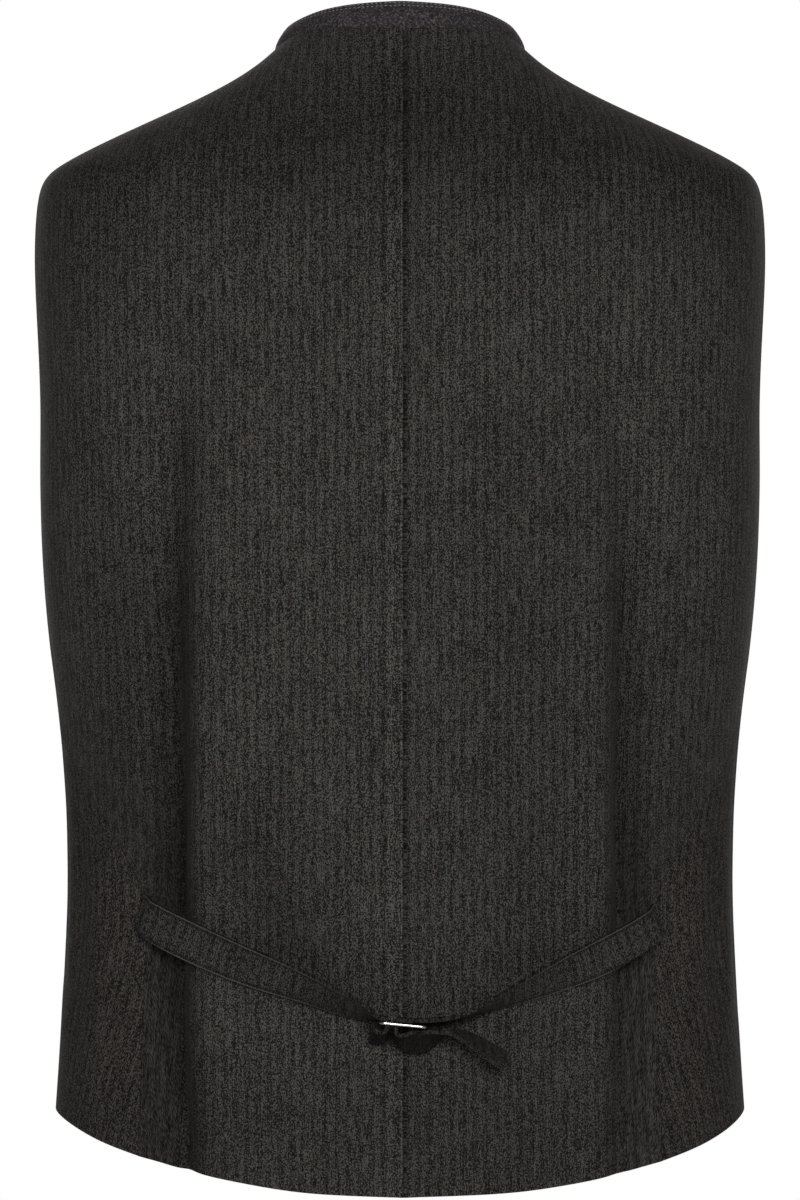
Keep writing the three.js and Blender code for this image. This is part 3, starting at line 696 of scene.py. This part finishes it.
LODEN_BACK = loden_material("loden_back", BACK_COLORS, sheen=0.055)
back_tree = LODEN_BACK.node_tree
# Painted shade: the back's cloth is darkened along the shade paths laid on it.
tint(LODEN_BACK, attribute_of(back_tree, "painted_shade"), (0, 0, 0))
back_cloth = add_node(back_tree, "ShaderNodeUVMap", uv_map="cloth")
back_across = add_node(back_tree, "ShaderNodeSeparateXYZ", {0: back_cloth.outputs[0]}).outputs[0]
# Painted light and shade along the centre back seam.
for middle, reach, bright in SEAM_LIGHT_AND_SHADE:
    tint(LODEN_BACK, band(back_tree, back_across, middle * MM, reach * MM), (bright, bright, bright))
shade_seams(LODEN_BACK)

cloth_at = {name: flat_lookup(piece) for name, piece in panels.items()}
for name, piece in panels.items():
    piece.data.materials.append(LODEN_BACK if name.startswith("back") else LODEN_FRONT_SHADED)
    thicken(piece, CLOTH_THICK, CLOTH_EDGE)
    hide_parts(name)
    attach(piece, "root")


# ---------- stand collar
# A low collar of grey felt in two layers, set into the neckline and open at the throat. It is finished with
# two rows of pale topstitching along its upper edge.
COLLAR_THICK = 2.6 * MM
COLLAR_EDGE = 0.8 * MM  # how far its rim is rounded over
COLLAR_ROWS = (1.3 * MM, 3.4 * MM)  # how far the rows lie below the upper edge
ROW_END_STEP = 3 * MM  # the lower row stops this much sooner at each end
FOOT_IN, FOOT_DOWN = 1.1 * MM, 1.3 * MM  # the collar's foot is caught behind the neckline
STITCH_PITCH = 2.5 * MM
STITCH_LENGTH = 1.5 * MM
STITCH_THICK = 0.24 * MM


def felt_wool():
    """Shader group: matted wool with no weave, pale hairs on it, worked out from object space in metres."""
    group, given = shader_group("felt_wool", {"Place": "Vector", "Dark": "Color", "Light": "Color"},
                                {"Color": "Color", "Height": "Float"})
    clumps = add_node(group, "ShaderNodeTexNoise",
                      {"Vector": given["Place"], "Scale": 700.0, "Detail": 2.0, "Roughness": 0.7})
    hairs = add_node(group, "ShaderNodeTexNoise",
                     {"Vector": given["Place"], "Scale": 950.0, "Detail": 1.0, "Distortion": 0.8})
    pale = ramp(group, hairs.outputs["Fac"], 0.52, 0.68)
    body = ramp(group, clumps.outputs["Fac"], 0.3, 0.7, high=0.45)
    both = add_node(group, "ShaderNodeMath", {0: pale, 1: body}, operation="ADD")
    shade = mix_colors(group, both.outputs[0], given["Dark"], given["Light"])
    add_node(group, "NodeGroupOutput", {"Color": shade, "Height": clumps.outputs["Fac"]})
    return group


FELT, felt_tree, felt_shader = new_material("felt", {
    "Roughness": 0.95, "Specular IOR Level": 0.15, "Sheen Weight": 0.05, "Sheen Roughness": 0.5})
felt_place = add_node(felt_tree, "ShaderNodeTexCoord").outputs["Object"]
felt_group = add_node(felt_tree, "ShaderNodeGroup", node_tree=felt_wool())
felt_tree.links.new(felt_place, felt_group.inputs["Place"])
felt_group.inputs["Dark"].default_value = (0.014, 0.0118, 0.0128, 1)
felt_group.inputs["Light"].default_value = (0.142, 0.122, 0.129, 1)
felt_bump = add_node(felt_tree, "ShaderNodeBump",
                     {"Height": felt_group.outputs["Height"], "Strength": 0.7, "Distance": 0.35 * MM})
felt_tree.links.new(felt_group.outputs["Color"], felt_shader.inputs["Base Color"])
felt_tree.links.new(felt_bump.outputs[0], felt_shader.inputs["Normal"])


def thread_material(name, color):
    """Twisted silk, paler and darker than its colour along the twist."""
    material, tree, shader = new_material(name, {"Roughness": 0.6, "Sheen Weight": 0.1})
    place = add_node(tree, "ShaderNodeTexCoord").outputs["Object"]
    twist = add_node(tree, "ShaderNodeTexNoise", {"Vector": place, "Scale": 2600.0, "Detail": 1.0})
    dark, light = ((*(share * c for c in color), 1) for share in (0.7, 1.35))
    tree.links.new(mix_colors(tree, twist.outputs["Fac"], dark, light), shader.inputs["Base Color"])
    return material


def smooth_faces(bm):
    for face in bm.faces:
        face.smooth = True


def stitch_run(name, spots, material, pitch=STITCH_PITCH, length=STITCH_LENGTH, thick=STITCH_THICK):
    """Short stitches half sunk in the cloth along a run of (point, outward normal)."""
    bm = bmesh.new()
    walked, due = 0.0, 0.5 * pitch
    for (a, normal_a), (b, normal_b) in zip(spots, spots[1:]):
        step = b - a
        while step.length > 0 and walked + step.length >= due:
            share = (due - walked) / step.length
            normal = normal_a.lerp(normal_b, share).normalized()
            along = (step - normal * step.dot(normal)).normalized()
            turn = Matrix((along, normal.cross(along), normal)).transposed().to_4x4()
            size = Matrix.Diagonal((length / 2, thick, thick, 1))
            bmesh.ops.create_uvsphere(bm, u_segments=8, v_segments=5, radius=1,
                                      matrix=Matrix.Translation(a.lerp(b, share)) @ turn @ size)
            due += pitch
        walked += step.length
    smooth_faces(bm)
    stitches = object_from(bm, name, material)
    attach(stitches, "root")


def topstitch(name, find, first, last, inset, material):
    """A row of stitches on a sheet, from one place along it to another, an inset below its upper edge."""
    steps = int((last - first) / MM)
    run = [find(first + (last - first) * i / steps, -inset) for i in range(steps + 1)]
    stitch_run(name, run, material)


def throat_end(v, up):
    """Largest at the collar's right end at the throat, at its top if up is 1 and at its foot if it is -1.
    The collar's back and left side are left out."""
    return up * v.co.z + 4 * v.co.x - 1000 * max(v.co.y, v.co.x, 0)


bm = outer_face("collar")
grid = square_cells(bm, lambda v: throat_end(v, 1), lambda v: throat_end(v, -1))
bm.normal_update()
for v in grid[-1]:
    v.co -= v.normal * FOOT_IN + Vector((0, 0, FOOT_DOWN))
lay_flat(bm, grid, hanging=False)
collar_length = path_length(grid[0])
collar = object_from(bm, "collar_felt")
smooth_sheet(collar, 3)
collar.data.materials.append(FELT)
PALE_THREAD = thread_material("pale_thread", (0.30, 0.30, 0.32))
collar_at = flat_lookup(collar)
for number, inset in enumerate(COLLAR_ROWS):
    end = COLLAR_ROWS[0] + ROW_END_STEP * number
    topstitch(f"collar_topstitch_{number + 1}", collar_at, end, collar_length - end, inset,
              PALE_THREAD)
thicken(collar, COLLAR_THICK, COLLAR_EDGE)
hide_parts("collar")
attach(collar, "root")


# ---------- back belt
# Two straps of the same cloth, cut across the weave, turned, pressed and edge-stitched. They are caught in
# the side seams and hang slack to the buckle. The left one ends on it, and the right one goes round it and
# ends in a loose tail.
STRAP_WIDTH = 21 * MM
STRAP_THICK = 2.2 * MM
STRAP_EDGE = 0.5 * MM  # how far its rim is rounded over
BELT_FLATS = {"belt_left": (0.185, STRAP_WIDTH), "belt_right": (0.242, STRAP_WIDTH)}
EDGE_STITCH_INSET = 1.6 * MM
STITCH_GROOVE, GROOVE_WIDTH = 0.3 * MM, 0.7 * MM  # how far the stitches draw the cloth in, and how wide
STRAP_CROWN, CROWN_WIDTH = 0.3 * MM, 5 * MM  # the strap's middle stands up, and falls to its edges
STRAP_TUCK, TUCK_LENGTH = 4.0 * MM, 9 * MM  # its end goes down so deep into the side seam, over this length
BELT_COLORS = ((0.009, 0.008, 0.0072), (0.0225, 0.0205, 0.0188), (0.1, 0.093, 0.087))
# Painted shade: the strap's reverse is darker than its face, and is lifted further from the buckle.
SHADED_REVERSE_COLORS = ((0.003, 0.0028, 0.0027), (0.0075, 0.0068, 0.0064), (0.03, 0.028, 0.026))
SIDE_COLORS = ((0.006, 0.0055, 0.005), (0.015, 0.0137, 0.013), (0.06, 0.056, 0.053))
# Painted highlight: the straps' rounded rim is pale, as where the pressed edges catch the light.
RIM_HIGHLIGHT_COLORS = ((0.05, 0.046, 0.042), (0.10, 0.093, 0.087), (0.19, 0.18, 0.17))
# Painted highlight and wear: the straps' pressed edges are paler.
EDGE_WEAR_AND_HIGHLIGHT_COLOR = (0.12, 0.112, 0.105)

buckle_points = points_of(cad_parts["buckle"].data)
BUCKLE_MIDDLE = (buckle_points.min(axis=0) + buckle_points.max(axis=0)) / 2
LOOP_MIDDLE = BUCKLE_MIDDLE + np.array((3, 0, -9)) * MM  # the middle of the loop that hangs under it
SEAM_END = 0.95  # a face further out than this share of the strap's reach is at the side seam


def tint_around(material, middle, near, far, amounts, bright):
    """Tints a material by its distance from an axis that runs from front to back through a place, from one
    amount near it to another far from it."""
    tree = material.node_tree
    place = add_node(tree, "ShaderNodeTexCoord").outputs["Object"]
    level = add_node(tree, "ShaderNodeVectorMath", {0: place, 1: (1, 0, 1)}, operation="MULTIPLY")
    away = add_node(tree, "ShaderNodeVectorMath",
                    {0: level.outputs[0], 1: (middle[0], 0, middle[2])}, operation="DISTANCE")
    tint(material, ramp(tree, away.outputs["Value"], near, far, *amounts), (bright, bright, bright))


BELT_CLOTH = loden_material("belt_cloth", BELT_COLORS, sheen=0.02)
# Painted shade on the reverse, and a painted highlight on the rounded rim.
BELT_REVERSE_SHADED = loden_material("belt_reverse_shaded", SHADED_REVERSE_COLORS, sheen=0.0)
BELT_SIDE = loden_material("belt_side", SIDE_COLORS, sheen=0.0, laid=False)
BELT_RIM_HIGHLIGHT = loden_material("belt_rim_highlight", RIM_HIGHLIGHT_COLORS, sheen=0.0, laid=False)
DARK_THREAD = thread_material("dark_thread", (0.010, 0.0095, 0.009))

belt_tree = BELT_CLOTH.node_tree
belt_cloth = add_node(belt_tree, "ShaderNodeUVMap", uv_map="cloth")
belt_down = add_node(belt_tree, "ShaderNodeSeparateXYZ", {0: belt_cloth.outputs[0]}).outputs[1]
to_edge = add_node(belt_tree, "ShaderNodeMath", {0: belt_down, 1: STRAP_WIDTH / 2}, operation="PINGPONG")
# Painted shade in the stitching groove, and a painted highlight with some wear along the pressed edges.
groove_shade = band(belt_tree, to_edge.outputs[0], 1.5 * MM, 0.7 * MM)
edge_wear_and_highlight = ramp(belt_tree, to_edge.outputs[0], 0.35 * MM, 0.7 * MM, 0.8, 0.0)
tint(BELT_CLOTH, groove_shade, (0.5, 0.5, 0.5))
tint(BELT_CLOTH, edge_wear_and_highlight, EDGE_WEAR_AND_HIGHLIGHT_COLOR, "MIX")

# Painted shade: the straps are darkened near the buckle, where they shade each other, and the loop under it,
# face and rim, as it lies in shadow. Their reverse is painted dark near the buckle and lighter further out.
tint_around(BELT_CLOTH, BUCKLE_MIDDLE, 18 * MM, 75 * MM, (0.7, 0.0), 0.4)
for material in (BELT_CLOTH, BELT_RIM_HIGHLIGHT):
    tint_around(material, LOOP_MIDDLE, 15 * MM, 21 * MM, (0.95, 0.0), 0.2)
tint_around(BELT_REVERSE_SHADED, BUCKLE_MIDDLE, 24 * MM, 34 * MM, (0.0, 1.0), 3.2)


def strap_face(node, side):
    """A bmesh of a strap's outer face, followed cell by cell from its seam, and its two edges' vertices."""
    bm = merged_node(node)
    bm.normal_update()
    reach = SEAM_END * max(side * v.co.x for v in bm.verts)
    far = [f for f in bm.faces if side * f.calc_center_median().x > reach]
    caps = sorted(far, key=lambda f: -side * f.normal.x)[:2]
    seam = sorted({v for cap in caps for v in cap.verts}, key=lambda v: -v.co.z)
    top, foot = (max(pair, key=lambda v: v.co.y + side * v.co.x) for pair in (seam[:2], seam[2:]))
    edges = [[top], [foot]]
    face = max(bm.edges.get((top, foot)).link_faces, key=lambda f: f.normal.y)
    kept, diagonals = set(), []
    for _ in range(len(bm.verts) // 4 - 1):
        third = next(v for v in face.verts if v not in (top, foot))
        at_top = (third.co - top.co).length < (third.co - foot.co).length
        cut = bm.edges.get((foot if at_top else top, third))
        pair = next(f for f in cut.link_faces if f is not face)
        fourth = next(v for v in pair.verts if v not in cut.verts)
        top, foot = (third, fourth) if at_top else (fourth, third)
        edges[0].append(top)
        edges[1].append(foot)
        kept.update((face, pair))
        diagonals.append(cut)
        face = next(f for f in bm.edges.get((top, foot)).link_faces if f is not pair)
    bmesh.ops.delete(bm, geom=[f for f in bm.faces if f not in kept], context="FACES")
    bmesh.ops.dissolve_edges(bm, edges=diagonals)
    return bm, edges


def flat_places(mesh):
    """Each point's place on the flat cloth, as an array of rows."""
    corner_uv = np.empty(len(mesh.loops) * 2)
    mesh.uv_layers["cloth"].data.foreach_get("uv", corner_uv)
    corner_vert = np.empty(len(mesh.loops), dtype=int)
    mesh.loops.foreach_get("vertex_index", corner_vert)
    places = np.zeros((len(mesh.vertices), 2))
    places[corner_vert] = corner_uv.reshape(-1, 2)
    return places


for name, flat in BELT_FLATS.items():
    bm, grid = strap_face(name, 1 if name == "belt_left" else -1)
    lay_flat(bm, grid, hanging=False)
    rungs = [bm.edges.get((a, b)) for a, b in zip(*grid)]
    bmesh.ops.subdivide_edges(bm, edges=rungs, cuts=7, use_grid_fill=True)
    belt = object_from(bm, name + "_cloth")
    smooth_sheet(belt, 2)
    places = flat_places(belt.data)
    along, down = places[:, 0], -places[:, 1]
    edge = np.minimum(down, STRAP_WIDTH - down)
    rise = STRAP_CROWN * ease(edge / CROWN_WIDTH)
    rise -= STITCH_GROOVE * np.exp(-((edge - EDGE_STITCH_INSET) / GROOVE_WIDTH) ** 2)
    rise -= STRAP_TUCK * ease(1 - along / TUCK_LENGTH)
    move_points(belt, points_of(belt.data) + points_of(belt.data, "normal") * rise[:, None])
    for cloth in (BELT_CLOTH, BELT_REVERSE_SHADED, BELT_SIDE, BELT_RIM_HIGHLIGHT):
        belt.data.materials.append(cloth)
    belt_at = flat_lookup(belt)
    for number, inset in enumerate((EDGE_STITCH_INSET, STRAP_WIDTH - EDGE_STITCH_INSET)):
        topstitch(f"{name}_stitch_{number + 1}", belt_at, 0, along.max(), inset, DARK_THREAD)
    thicken(belt, STRAP_THICK, STRAP_EDGE)
    belt.modifiers["wall"].material_offset = 1
    belt.modifiers["wall"].material_offset_rim = 2
    belt.modifiers["turned_edge"].material = 3
    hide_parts(name)
    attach(belt, "root")


# ---------- slide buckle
# A small flat buckle, stamped from plate and nickel plated, that the two straps turn round. It lies on edge
# between them, so little but its bright rim shows from behind.
BUCKLE_ROUNDING = 0.35 * MM
nickel, nickel_tree, nickel_shader = new_material(
    "nickel", {"Base Color": (0.86, 0.85, 0.83, 1), "Metallic": 1.0})
nickel_place = add_node(nickel_tree, "ShaderNodeTexCoord").outputs["Object"]
rubbed = add_node(nickel_tree, "ShaderNodeTexNoise", {"Vector": nickel_place, "Scale": 900.0, "Detail": 3.0})
nickel_rough = ramp(nickel_tree, rubbed.outputs["Fac"], 0.0, 1.0, 0.16, 0.36)
nickel_tree.links.new(nickel_rough, nickel_shader.inputs["Roughness"])

bm = merged_node("buckle")
bmesh.ops.dissolve_limit(bm, angle_limit=math.radians(1), verts=bm.verts, edges=bm.edges)
sharp = [e for e in bm.edges if len(e.link_faces) == 2 and e.calc_face_angle() > math.radians(60)]
bmesh.ops.bevel(bm, geom=sharp, offset=BUCKLE_ROUNDING, segments=3, affect="EDGES", profile=0.5, material=-1)
smooth_faces(bm)
buckle = object_from(bm, "buckle_plate", nickel)
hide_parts("buckle")
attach(buckle, "root")


# ---------- front buttons
# Seven domed pewter buttons on shanks, cast with a beaded rim and a ring of leaves. They fasten through
# keyhole buttonholes in the left front, which are worked round with dark silk.
BUTTON_COUNT = 7
BUTTON_PROFILE = (  # radius and height in mm, from the foot of the shank to the top of the dome
    (2.3, 0), (2.3, 1.9), (8.2, 1.8), (8.9, 2.2), (9, 2.9), (8.6, 3.2), (7.2, 3.1), (6.9, 3.6),
    (6.2, 4.5), (5.4, 4.9), (4.4, 5.4), (3.2, 5.8), (2.6, 5.75), (2.1, 6.1), (1, 6.4), (0, 6.4),
)
BUTTON_STEPS = 64
BUTTON_RIM_TOP = 3 * MM
BEADS, BEAD_RING, BEAD_RADIUS, BEAD_HEIGHT = 32, 7.9 * MM, 0.62 * MM, 3.15 * MM
LEAVES, LEAF_RISE = 8, 0.45 * MM
LEAF_INNER, LEAF_OUTER = 2.7 * MM, 6.8 * MM
HOLE_START, HOLE_LENGTH, HOLE_WIDTH = 14.0 * MM, 21 * MM, 1.5 * MM
EYE_RADIUS = 2.2 * MM
SPOKES = 12  # more edges than this meet only in the middle of a packed button's crown and of its foot

pewter, pewter_tree, pewter_shader = new_material("pewter", {"Metallic": 0.95})
pewter_place = add_node(pewter_tree, "ShaderNodeTexCoord").outputs["Object"]
dull = add_node(pewter_tree, "ShaderNodeTexNoise", {"Vector": pewter_place, "Scale": 600.0, "Detail": 4.0})
tarnish = mix_colors(pewter_tree, dull.outputs["Fac"], (0.12, 0.115, 0.11, 1), (0.5, 0.49, 0.47, 1))
pewter_rough = ramp(pewter_tree, dull.outputs["Fac"], 0.0, 1.0, 0.6, 0.3)
pewter_tree.links.new(tarnish, pewter_shader.inputs["Base Color"])
pewter_tree.links.new(pewter_rough, pewter_shader.inputs["Roughness"])


def cast_button():
    """A bmesh of one button, with its shank's foot at the origin and its dome up."""
    bm = bmesh.new()
    rows = [bm.verts.new((radius * MM, 0, height * MM)) for radius, height in BUTTON_PROFILE]
    edges = [bm.edges.new(pair) for pair in zip(rows, rows[1:])]
    bmesh.ops.spin(bm, geom=rows + edges, cent=(0, 0, 0), axis=(0, 0, 1), angle=2 * math.pi,
                   steps=BUTTON_STEPS, use_merge=True, use_duplicate=False)
    bmesh.ops.remove_doubles(bm, verts=bm.verts, dist=0.01 * MM)
    bmesh.ops.holes_fill(bm, edges=[e for e in bm.edges if e.is_boundary])
    bmesh.ops.recalc_face_normals(bm, faces=bm.faces)
    for v in bm.verts:
        radius = math.hypot(v.co.x, v.co.y)
        if LEAF_INNER < radius < LEAF_OUTER and v.co.z > BUTTON_RIM_TOP:
            lobe = 0.5 * math.cos(LEAVES * math.atan2(v.co.y, v.co.x))
            share = (radius - LEAF_INNER) / (LEAF_OUTER - LEAF_INNER)
            v.co.z += LEAF_RISE * lobe * math.sin(math.pi * share)
    for i in range(BEADS):
        angle = 2 * math.pi * i / BEADS
        spot = Vector((BEAD_RING * math.cos(angle), BEAD_RING * math.sin(angle), BEAD_HEIGHT))
        bmesh.ops.create_uvsphere(bm, u_segments=8, v_segments=6, radius=BEAD_RADIUS,
                                  matrix=Matrix.Translation(spot))
    smooth_faces(bm)
    return bm


def shank_ends(node):
    """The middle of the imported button's crown and of its shank's foot."""
    bm = merged_node(node)
    crown, foot = sorted((v.co.copy() for v in bm.verts if len(v.link_edges) > SPOKES), key=lambda co: co.y)
    bm.free()
    return crown, foot


for number in range(1, BUTTON_COUNT + 1):
    node = f"button_{number}"
    crown, foot = shank_ends(node)
    turn = (crown - foot).to_track_quat("Z", "X").to_matrix().to_4x4()
    bm = cast_button()
    bm.transform(Matrix.Translation(foot) @ turn)
    cast = object_from(bm, node + "_cast", pewter)
    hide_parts(node)
    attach(cast, "root")

    # The worked edge runs round the eye, where the shank rests, and along both sides of the slit.
    hole_end = HOLE_START + HOLE_LENGTH
    eye = [(HOLE_START + EYE_RADIUS * (1 - math.cos(t)), EYE_RADIUS * math.sin(t))
           for t in (math.radians(a) for a in range(-140, 141, 20))]
    outline = [(hole_end, HOLE_WIDTH / 2), (hole_end, -HOLE_WIDTH / 2), *eye, (hole_end, HOLE_WIDTH / 2)]
    run = [cloth_at["front_left"](across, foot.z + down) for across, down in outline]
    stitch_run(f"buttonhole_{number}", run, DARK_THREAD, pitch=0.62 * MM, length=0.8 * MM,
               thick=0.42 * MM)
